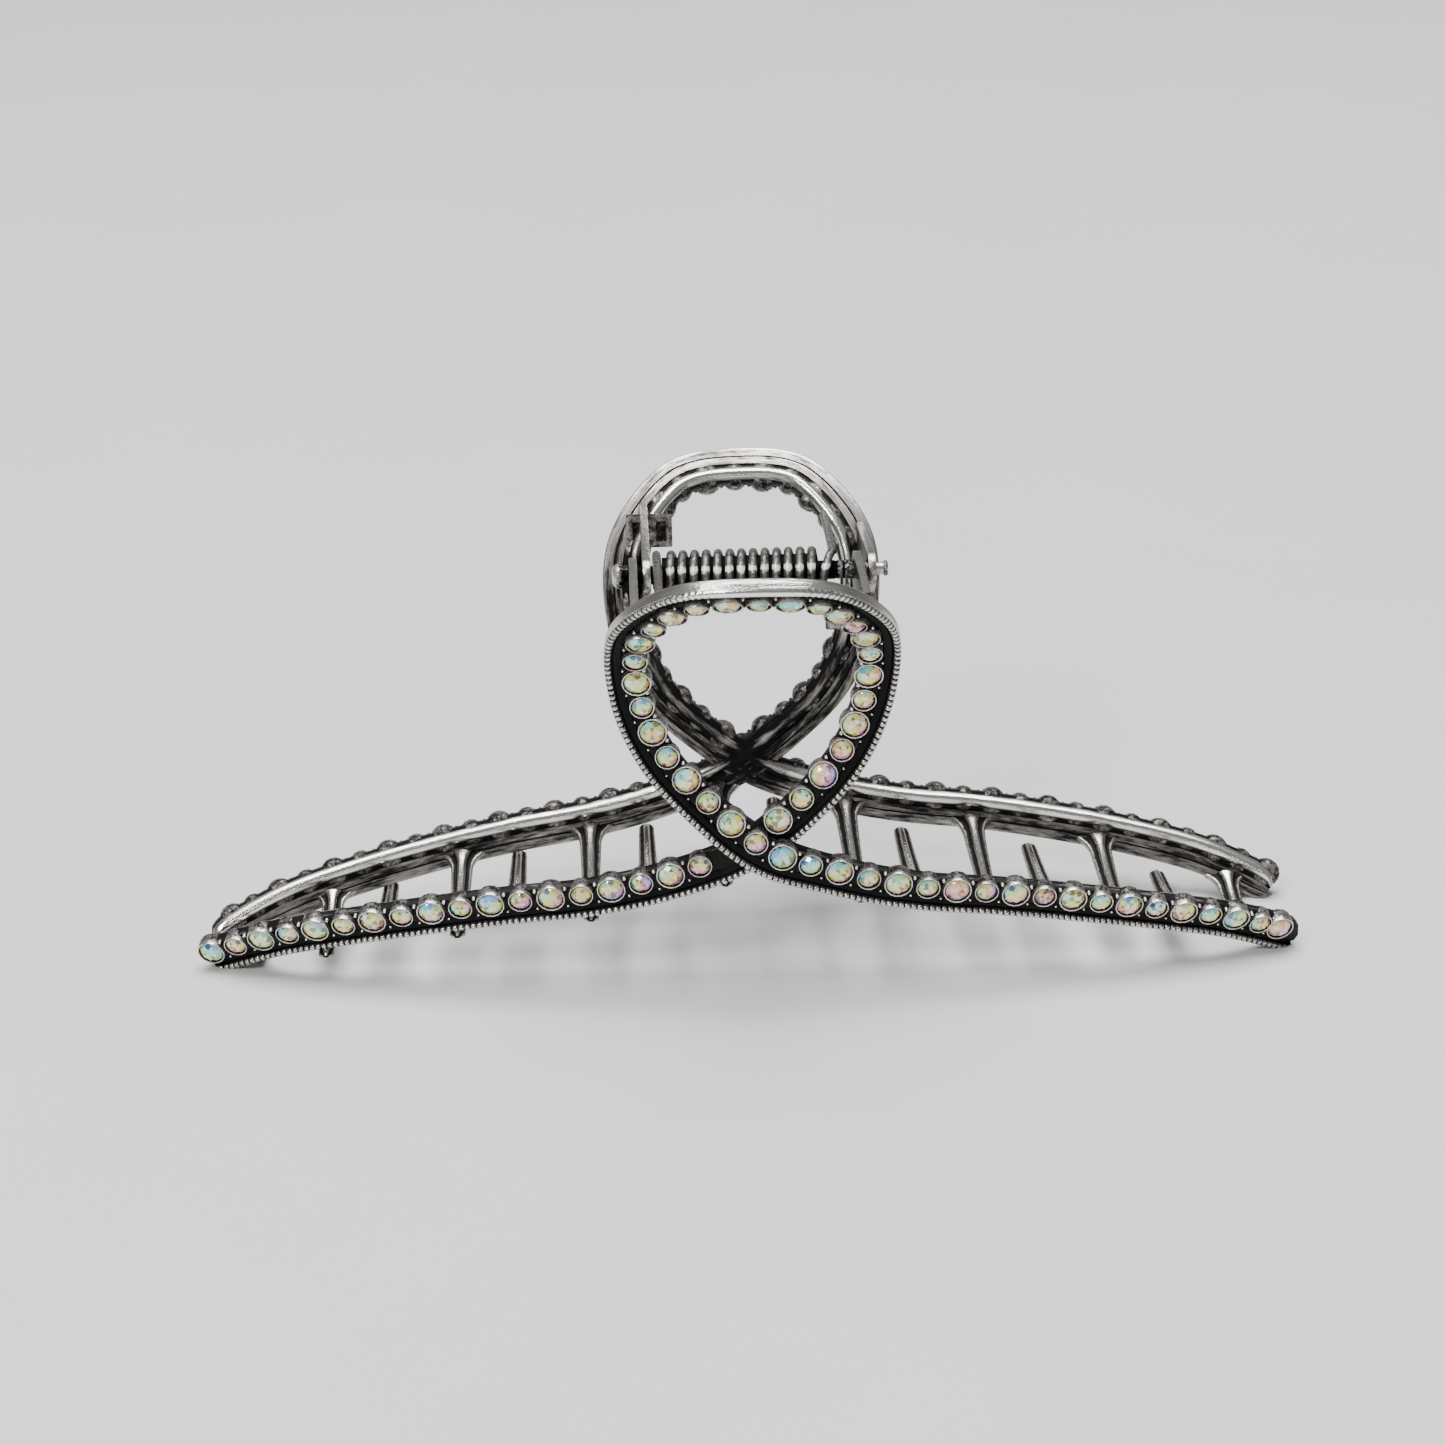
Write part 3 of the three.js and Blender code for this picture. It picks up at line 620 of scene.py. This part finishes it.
def ear(x, jaw):
    """A plate from the loop's inner face to the pin, rounded round its bore."""
    edge = edge_height(x, TOP, TOP - np.sign(x) * EAR_SEARCH)
    heights = edge - EAR_INSET - EAR_ROOT * np.linspace(0, 1, 9)
    outline = [(on_surface(x, z, jaw.lean)[1] + EAR_BURY, z) for z in heights]
    for angle in np.linspace(EAR_FROM, EAR_TO, 18):
        outline.append((EAR_BOSS * cos(angle), HINGE_Z + EAR_BOSS * sin(angle)))
    data = bpy.data.meshes.new("ear")
    data.from_pydata([(x - EAR_THICKNESS / 2, y, z) for y, z in outline], [], [list(range(len(outline)))])
    plate = linked(data)
    bpy.ops.object.mode_set(mode="EDIT")
    bpy.ops.mesh.select_all(action="SELECT")
    bpy.ops.mesh.extrude_region_move(TRANSFORM_OT_translate={"value": (EAR_THICKNESS, 0, 0)})
    bpy.ops.mesh.select_all(action="SELECT")
    bpy.ops.mesh.normals_make_consistent(inside=False)
    bpy.ops.object.mode_set(mode="OBJECT")
    round_edges(plate, EAR_BEVEL)
    bpy.ops.mesh.primitive_cylinder_add(
        vertices=BORE_SIDES, radius=BORE_RADIUS, depth=3 * EAR_THICKNESS,
        location=(x, 0, HINGE_Z), rotation=(0, pi / 2, 0))
    drill = bpy.context.object
    cut = plate.modifiers.new("bore", "BOOLEAN")
    cut.object = drill
    cut.operation = "DIFFERENCE"
    bpy.context.view_layer.objects.active = plate
    bpy.ops.object.modifier_apply(modifier=cut.name)
    bpy.data.objects.remove(drill)
    return taken(plate)


def round_edges(piece, width):
    """Rounds a pattern piece's sharp edges."""
    bevel = piece.modifiers.new("edges", "BEVEL")
    bevel.width = width
    bevel.segments = 2
    bevel.limit_method = "ANGLE"
    bevel.angle_limit = radians(SHARP)
    bpy.ops.object.modifier_apply(modifier=bevel.name)


def spring_seat(jaw):
    """The cross plate under the grip, with a pocket on each side of the ear for the spring's leg."""
    bpy.ops.object.select_all(action="DESELECT")
    bpy.ops.mesh.primitive_cube_add(size=1, location=(SEAT_X, -SEAT_REACH, HINGE_Z + SEAT_RISE))
    plate = bpy.context.object
    plate.scale = SEAT_SIZE
    bpy.ops.object.transform_apply(location=True, scale=True)
    bpy.ops.object.mode_set(mode="EDIT")
    bpy.ops.mesh.bisect(plane_co=(SEAT_X, 0, 0), plane_no=(1, 0, 0))
    bpy.ops.mesh.select_all(action="DESELECT")
    bpy.ops.object.mode_set(mode="OBJECT")
    for polygon in plate.data.polygons:
        polygon.select = polygon.normal.y > 0.9
    bpy.ops.object.mode_set(mode="EDIT")
    bpy.ops.mesh.inset(thickness=POCKET_RIM, use_individual=True)
    bpy.ops.mesh.extrude_region_move(TRANSFORM_OT_translate={"value": (0, -POCKET_DEPTH, 0)})
    bpy.ops.object.mode_set(mode="OBJECT")
    round_edges(plate, SEAT_BEVEL)
    vertices, faces, _ = taken(plate)
    sunk = vertices[:, 1] < -SEAT_REACH + SEAT_SIZE[1] / 2 - 0.05
    inside = np.abs(vertices[:, 1] + SEAT_REACH) < SEAT_SIZE[1] / 2 - 0.02
    return vertices, faces, np.where(sunk & inside, *SEAT_WEAR)


def ears(jaw):
    """Both ears of a jaw and its spring seat."""
    parts = []
    for x in jaw.ears:
        vertices, faces, _ = ear(x, jaw)
        flat = np.abs(np.abs(vertices[:, 0] - x) - EAR_THICKNESS / 2) < 0.01
        parts.append((vertices, faces, np.where(flat, *EAR_WEAR)))
    parts.append(spring_seat(jaw))
    parts = [(jaw.world(vertices), faces, wear_and_light) for vertices, faces, wear_and_light in parts]
    return mesh_piece(jaw.side + "_ears", *joined(parts), angle=40)


# ------------------------------------------------------------------ pin and spring
# The pin's radius, place along X and wear: its riveted head, the black sleeve that fills the coil, a dark
# piece that stands in for the shade inside the coil, two rings, and the stub with its lip.
PIN = [
    (0.00, -12.95, 0.5), (0.55, -12.93, 0.5), (0.92, -12.80, 0.5), (1.14, -12.55, 0.4), (1.20, -12.30, 0.3),
    (1.16, -12.02, 0.2), (1.00, -11.80, 0.1), (0.60, -11.75, 0.0), (0.60, -11.40, 0.1), (0.92, -11.30, 0.0),
    (0.92, -8.12, -0.9), (1.66, -8.10, -2), (1.66, 6.60, -2), (0.92, 6.62, -0.9), (0.92, 8.60, 0.1),
    (0.86, 8.68, 0.0), (0.86, 8.80, 0.0), (0.92, 8.88, 0.25), (0.92, 9.30, 0.25), (0.86, 9.38, 0.0),
    (0.86, 9.50, 0.0), (0.92, 9.58, 0.25), (0.92, 11.30, 0.1), (0.60, 11.40, 0.3), (0.60, 13.30, 0.6),
    (0.72, 13.40, 0.5), (0.76, 13.52, 0.3), (0.74, 13.66, 0.3), (0.64, 13.75, 0.4), (0.00, 13.75, 0.4),
]
PIN_SIDES = 32


def hinge_pin():
    """The riveted pin, with its head on the left, its lip on the right and the coil's black sleeve, a dark
    piece standing in for the shade inside the coil.
    """
    vertices, faces, wear_and_light = taken(turned("pin", PIN, PIN_SIDES))
    laid = np.stack([vertices[:, 2], vertices[:, 1], -vertices[:, 0]], -1) + (0, 0, HINGE_Z)
    return mesh_piece("pin", laid * MM, faces, wear_and_light, angle=40)


WIRE = 0.42                   # the wire's radius
WIRE_SHADING = (-0.05, 0.45)     # on the wire's flanks, and how much more on the coil's outside, so that the inside is painted dark as shade
COIL_RADIUS = 1.95            # to the wire's middle
COIL_START = -7.5
COIL_PITCH = 1.133
COIL_TURNS = 13
COIL_STEPS = 36
COIL_SQUARE = 0.85            # how square the turns stand in front, with their pitch taken up behind
HIGHLIGHT_SPREAD = 0.38                 # half height of the painted highlights on the coil's front, in mm
HIGHLIGHT_RISE = 1.1             # their height over the coil's axis
HIGHLIGHT_GAIN = 1.4
ARC_STEPS = 18
LEG_GAP = 0.5                 # the angle between the coil's end and a leg's start, in radians
LEG_REACH = 11.2
LEG_DROP = 0.2                # how far it bends down by its end
LEG_STEPS = 11
FRONT_LEG = (-8.6, -8.6)      # x where a leg's turn starts and where the leg runs
REAR_LEG = (7.2, 8.4)


def wire(name, points):
    """Round spring wire along a line of points, with flat ends."""
    data = bpy.data.curves.new(name, "CURVE")
    data.dimensions = "3D"
    data.bevel_depth = WIRE * MM
    data.bevel_resolution = 3
    data.use_fill_caps = True
    line = data.splines.new("POLY")
    line.points.add(len(points) - 1)
    line.points.foreach_set("co", np.column_stack([points * MM, np.ones(len(points))]).ravel())
    piece = linked(data)
    bpy.ops.object.convert(target="MESH")
    piece = bpy.context.object
    vertices, faces, _ = taken(piece)
    depth, height = vertices[:, 1] / MM, vertices[:, 2] / MM - HINGE_Z
    # Painted shade: the wire darkens towards the coil's axis.
    outside = np.clip((np.hypot(depth, height) - COIL_RADIUS) / WIRE, -1, 1)
    # Painted highlights: bright spots on the coil's front at this height.
    painted_highlights = (depth < 0) * (outside > 0) * np.exp(-((height - HIGHLIGHT_RISE) / HIGHLIGHT_SPREAD) ** 2)
    wear_and_light = WIRE_SHADING[0] + WIRE_SHADING[1] * outside + HIGHLIGHT_GAIN * painted_highlights
    return mesh_piece(name, vertices, faces, wear_and_light, angle=50)


def on_coil(x, angle):
    """Places on the coil's line, their angles taken from the top towards the rear."""
    return np.stack([x, COIL_RADIUS * np.sin(angle), HINGE_Z + COIL_RADIUS * np.cos(angle)], -1)


def spring_coil():
    """The coil, which starts and ends under the pin."""
    turns = np.linspace(0, COIL_TURNS, COIL_TURNS * COIL_STEPS + 1)
    across = turns + COIL_SQUARE * (np.cos(2 * pi * turns) - 1) / (2 * pi)
    return wire("coil", on_coil(COIL_START + COIL_PITCH * across, pi * (1 + 2 * turns)))


def spring_leg(side, near, far, facing):
    """The spring's end turn and its straight leg under one grip, with the grip's side as facing."""
    f = np.linspace(0, 1, ARC_STEPS + 1)
    turn = on_coil(near + (far - near) * f**2, -facing * (pi - LEG_GAP) * (1 - f))
    f = np.linspace(0, 1, LEG_STEPS + 1)[1:]
    top = HINGE_Z + COIL_RADIUS
    straight = np.stack([np.full(LEG_STEPS, far), facing * LEG_REACH * f, top - LEG_DROP * f**2], -1)
    return wire(side + "_leg", np.concatenate([turn, straight]))


# ------------------------------------------------------------------ materials
class Value:
    """A socket's value; an expression on values adds its Math nodes."""

    def __init__(self, finish, socket):
        self.finish = finish
        self.socket = socket

    def math(self, operation, first, second):
        return self.finish.node("ShaderNodeMath", {"operation": operation}, {0: first, 1: second})

    def __add__(self, other):
        return self.math("ADD", self, other)

    def __radd__(self, other):
        return self.math("ADD", other, self)

    def __sub__(self, other):
        return self.math("SUBTRACT", self, other)

    def __rsub__(self, other):
        return self.math("SUBTRACT", other, self)

    def __mul__(self, other):
        return self.math("MULTIPLY", self, other)

    def __rmul__(self, other):
        return self.math("MULTIPLY", other, self)


class Finish:
    """One material, built up from nodes around its Principled shader."""

    def __init__(self, name, **constants):
        self.material = bpy.data.materials.new(name)
        self.material.use_nodes = True
        self.tree = self.material.node_tree
        self.shader = self.tree.nodes["Principled BSDF"]
        for socket, value in constants.items():
            self.shader.inputs[socket.replace("_", " ")].default_value = value

    def node(self, kind, settings, inputs, output=0):
        """Adds a node, sets it up, fills its inputs and gives one of its outputs."""
        added = self.tree.nodes.new(kind)
        for setting, value in settings.items():
            setattr(added, setting, value)
        for socket, value in inputs.items():
            self.fill(added.inputs[socket], value)
        return Value(self, added.outputs[output])

    def fill(self, socket, value):
        """Links a value to a socket, or sets the socket to a constant."""
        if isinstance(value, Value):
            self.tree.links.new(value.socket, socket)
        else:
            socket.default_value = value

    def set(self, **inputs):
        """Links or sets the shader's own sockets."""
        for socket, value in inputs.items():
            self.fill(self.shader.inputs[socket.replace("_", " ")], value)

    def place(self):
        """The place on the object."""
        return self.node("ShaderNodeTexCoord", {}, {}, "Object")

    def noise(self, size, detail=3, roughness=0.55):
        """Noise of a given grain size in mm, from 0 to 1."""
        return self.textured(self.place(), 1 / (size * MM), detail, roughness)

    def marks(self, size, detail=3, roughness=0.55):
        """The same, laid out along the piece by its grain."""
        return self.textured(self.attribute("grain", "Vector"), 1 / size, detail, roughness)

    def textured(self, place, scale, detail, roughness):
        """Noise at a place."""
        return self.node("ShaderNodeTexNoise", {}, {
            "Vector": place, "Scale": scale, "Detail": detail, "Roughness": roughness,
        })

    def attribute(self, name, output="Fac"):
        """The mesh's own attribute."""
        return self.node("ShaderNodeAttribute", {"attribute_name": name}, {}, output)

    def step(self, value, low, high):
        """0 below low, 1 above high and smooth between."""
        return self.node("ShaderNodeMapRange", {"interpolation_type": "SMOOTHSTEP"}, {
            "Value": value, "From Min": low, "From Max": high, "To Min": 0.0, "To Max": 1.0,
        })

    def mix(self, mask, first, second):
        """A colour between two colours."""
        return self.node("ShaderNodeMix", {"data_type": "RGBA"}, {0: mask, 6: first, 7: second}, 2)

    def bump(self, height, strength, distance):
        """A normal from a height, with its distance in mm."""
        return self.node("ShaderNodeBump", {}, {
            "Height": height, "Strength": strength, "Distance": distance * MM,
        })


def antique_silver():
    """Silver plating, black in its hollows and rubbed bright on what stands proud, with painted shade on
    the loop's back and where the strands cross, and a painted highlight on the rim at the grip's top.
    """
    finish = Finish("antique_silver", Specular_IOR_Level=0.12)
    patches = finish.marks(0.65, 6, 0.72)
    grain = finish.marks(0.2, 3, 0.65)
    rubbed_and_lit = finish.attribute("wear_and_light") + (patches - 0.5) * 1.4 + (grain - 0.5) * 0.7
    bright = finish.step(rubbed_and_lit, 0.16, 0.66)
    polish_and_highlight = finish.step(rubbed_and_lit, 0.45, 1.30)
    silver = finish.mix(polish_and_highlight, (0.34, 0.32, 0.30, 1), (0.95, 0.93, 0.90, 1))
    finish.set(
        Base_Color=finish.mix(bright, (0.006, 0.005, 0.005, 1), silver),
        Metallic=bright,
        Roughness=0.42 - bright * 0.10 - polish_and_highlight * 0.18,
        Normal=finish.bump(rubbed_and_lit, 0.5, 0.05),
    )
    return finish.material


def black_enamel():
    """Deep black enamel with a faint ripple and specks of dust."""
    finish = Finish("black_enamel", Specular_IOR_Level=0.08)
    dust = finish.step(finish.noise(0.15, 2), 0.68, 0.80)
    finish.set(
        Base_Color=finish.mix(dust, (0.003, 0.003, 0.003, 1), (0.04, 0.04, 0.04, 1)),
        Roughness=0.26 + dust * 0.3,
        Normal=finish.bump(finish.noise(0.9), 0.25, 0.06),
    )
    return finish.material


def aurora_crystal():
    """Foil-backed glass with a rainbow coating."""
    finish = Finish("aurora_crystal", Coat_Weight=1.0, Coat_Roughness=0.02, IOR=1.6)
    facets = finish.attribute("aurora", "Color")
    # The white glints are painted highlights.
    glint = finish.step(finish.noise(0.3, 2), 0.60, 0.66)
    finish.set(
        Base_Color=finish.mix(glint * 0.6, facets, (1.0, 1.0, 0.97, 1)),
        Metallic=0.25,
        Roughness=0.10 + glint * 0.1,
    )
    return finish.material


def spring_steel():
    """Plated spring wire, painted black inside the coil as shade and painted white in front as a highlight.
    """
    finish = Finish("spring_steel", Specular_IOR_Level=0.1)
    drawn = finish.noise(0.25, 4, 0.7)
    rubbed_and_lit = finish.attribute("wear_and_light") + (finish.noise(0.4, 5, 0.75) - 0.5) * 3
    bright = finish.step(rubbed_and_lit, -0.1, 0.85)
    polish_and_highlight = finish.step(rubbed_and_lit, 0.9, 1.4)
    silver = finish.mix(polish_and_highlight, (0.22, 0.21, 0.195, 1), (0.98, 0.97, 0.95, 1))
    finish.set(
        Base_Color=finish.mix(bright, (0.006, 0.005, 0.005, 1), silver),
        Metallic=bright - polish_and_highlight * 0.7,
        Roughness=0.40 - polish_and_highlight * 0.08 + (drawn - 0.5) * 0.2,
        Normal=finish.bump(drawn, 0.4, 0.05),
    )
    return finish.material


def pin_steel():
    """Steel pin with dull scratches, black in its rings, and black along its sleeve as painted shade inside
    the coil.
    """
    finish = Finish("pin_steel", Specular_IOR_Level=0.02)
    scratches = finish.noise(0.3, 4)
    bright = finish.step(finish.attribute("wear_and_light") + (scratches - 0.5) * 0.8, 0.15, 0.6)
    finish.set(
        Base_Color=finish.mix(bright, (0.004, 0.004, 0.004, 1), (0.66, 0.64, 0.61, 1)),
        Metallic=bright,
        Roughness=0.5 - bright * 0.22,
        Normal=finish.bump(scratches, 0.25, 0.03),
    )
    return finish.material


# ------------------------------------------------------------------ the clip
MAKERS = (antique_silver, black_enamel, aurora_crystal, spring_steel, pin_steel)
FINISHES = {make.__name__: make() for make in MAKERS}


def placed(piece, body, slot, *nodes):
    """Gives a piece its finish and its body, and hides the CAD nodes that it stands for."""
    piece.data.materials.append(FINISHES[slot])
    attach(piece, body)
    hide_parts(*nodes)


def add_jaw(jaw, stone):
    """Everything that one jaw carries."""
    body, side = jaw.body, jaw.side
    for make in (cast_band, beaded_edge, cups, prongs, teeth, ears):
        placed(make(jaw), body, "antique_silver", side + "_jaw")
    for reach, first, last in (
        ("long", ENAMEL_LONG_FROM, ENAMEL_END),
        ("short", -ENAMEL_END, ENAMEL_SHORT_TO),
    ):
        name = f"{side}_enamel_{reach}"
        placed(enamel(name + "_inlay", jaw, first, last), body, "black_enamel", name)
    loop = [f"{side}_stone_{k + 1:02d}" for k in range(SINGLE_STONES)]
    split = SINGLE_STONES
    for name, row, radii, nodes in (
        ("loop", LONG_ROW[:split], LONG_RADII[:split], loop),
        ("long", LONG_ROW[split:], LONG_RADII[split:], [side + "_stone_row_long"]),
        ("short", SHORT_ROW, SHORT_RADII, [side + "_stone_row_short"]),
    ):
        piece = stones(f"{side}_stones_{name}", jaw, row, radii, stone)
        placed(piece, body, "aurora_crystal", *nodes)


stone_pattern = taken(cut_stone())
add_jaw(FRONT, stone_pattern)
add_jaw(REAR, stone_pattern)
placed(hinge_pin(), "hinge", "pin_steel", "hinge_pin")
placed(spring_coil(), "hinge", "spring_steel", "spring_coil")
placed(spring_leg("front", *FRONT_LEG, -1), "front_jaw", "spring_steel", "spring_front_leg")
placed(spring_leg("rear", *REAR_LEG, 1), "rear_jaw", "spring_steel", "spring_rear_leg")


# ------------------------------------------------------------------ floor, lights and camera
def floor():
    """A plain pale floor."""
    bpy.ops.object.select_all(action="DESELECT")
    bpy.ops.mesh.primitive_plane_add(size=6)
    plane = bpy.context.object
    plane.name = "floor"
    finish = Finish("pale_floor", Roughness=0.85)
    finish.set(Base_Color=finish.mix(finish.noise(40), (0.60, 0.61, 0.60, 1), (0.64, 0.65, 0.64, 1)))
    plane.data.materials.append(finish.material)


def softbox(name, place, target, size, power):
    """A rectangular area light that faces its target."""
    lamp = bpy.data.lights.new(name, "AREA")
    lamp.shape = "RECTANGLE"
    lamp.size, lamp.size_y = size
    lamp.energy = power
    light = bpy.data.objects.new(name, lamp)
    bpy.context.scene.collection.objects.link(light)
    light.location = place
    light.rotation_euler = (Vector(target) - Vector(place)).to_track_quat("-Z", "Y").to_euler()


CAMERA_TURN = 0.0453          # to the left of straight ahead, in radians
CAMERA_PITCH = 0.4189         # looking down
CAMERA_ROLL = -0.0156
CAMERA_DISTANCE = 0.282996
CAMERA_TARGET = Vector((0, 0, 0.02085))
CAMERA_LENS = 70.91
CAMERA_SHIFT = (-0.01815, 0.02088)


def camera():
    """The camera, a little over the clip and almost straight in front of it."""
    forward = Vector((
        sin(CAMERA_TURN) * cos(CAMERA_PITCH), cos(CAMERA_TURN) * cos(CAMERA_PITCH), -sin(CAMERA_PITCH)))
    level = Vector((cos(CAMERA_TURN), -sin(CAMERA_TURN), 0))
    rise = level.cross(forward)
    right = cos(CAMERA_ROLL) * level + sin(CAMERA_ROLL) * rise
    up = cos(CAMERA_ROLL) * rise - sin(CAMERA_ROLL) * level
    data = bpy.data.cameras.new("camera")
    data.lens = CAMERA_LENS
    data.shift_x, data.shift_y = CAMERA_SHIFT
    eye = bpy.data.objects.new("camera", data)
    bpy.context.scene.collection.objects.link(eye)
    turn = Matrix((right, up, -forward)).transposed().to_4x4()
    eye.matrix_world = Matrix.Translation(CAMERA_TARGET - CAMERA_DISTANCE * forward) @ turn
    bpy.context.scene.camera = eye


def studio():
    """A pale surrounding glow and two soft boxes."""
    world = bpy.data.worlds.new("studio")
    world.use_nodes = True
    world.node_tree.nodes["Background"].inputs["Color"].default_value = (0.80, 0.81, 0.81, 1)
    world.node_tree.nodes["Background"].inputs["Strength"].default_value = 0.3
    bpy.context.scene.world = world
    softbox("overhead", (0.0, 0.15, 1.6), (0, 0.05, 0), (1.4, 1.2), 54)
    softbox("key", (-0.35, -0.5, 0.6), (0, 0, 0.02), (0.22, 0.22), 4)


floor()
studio()
camera()
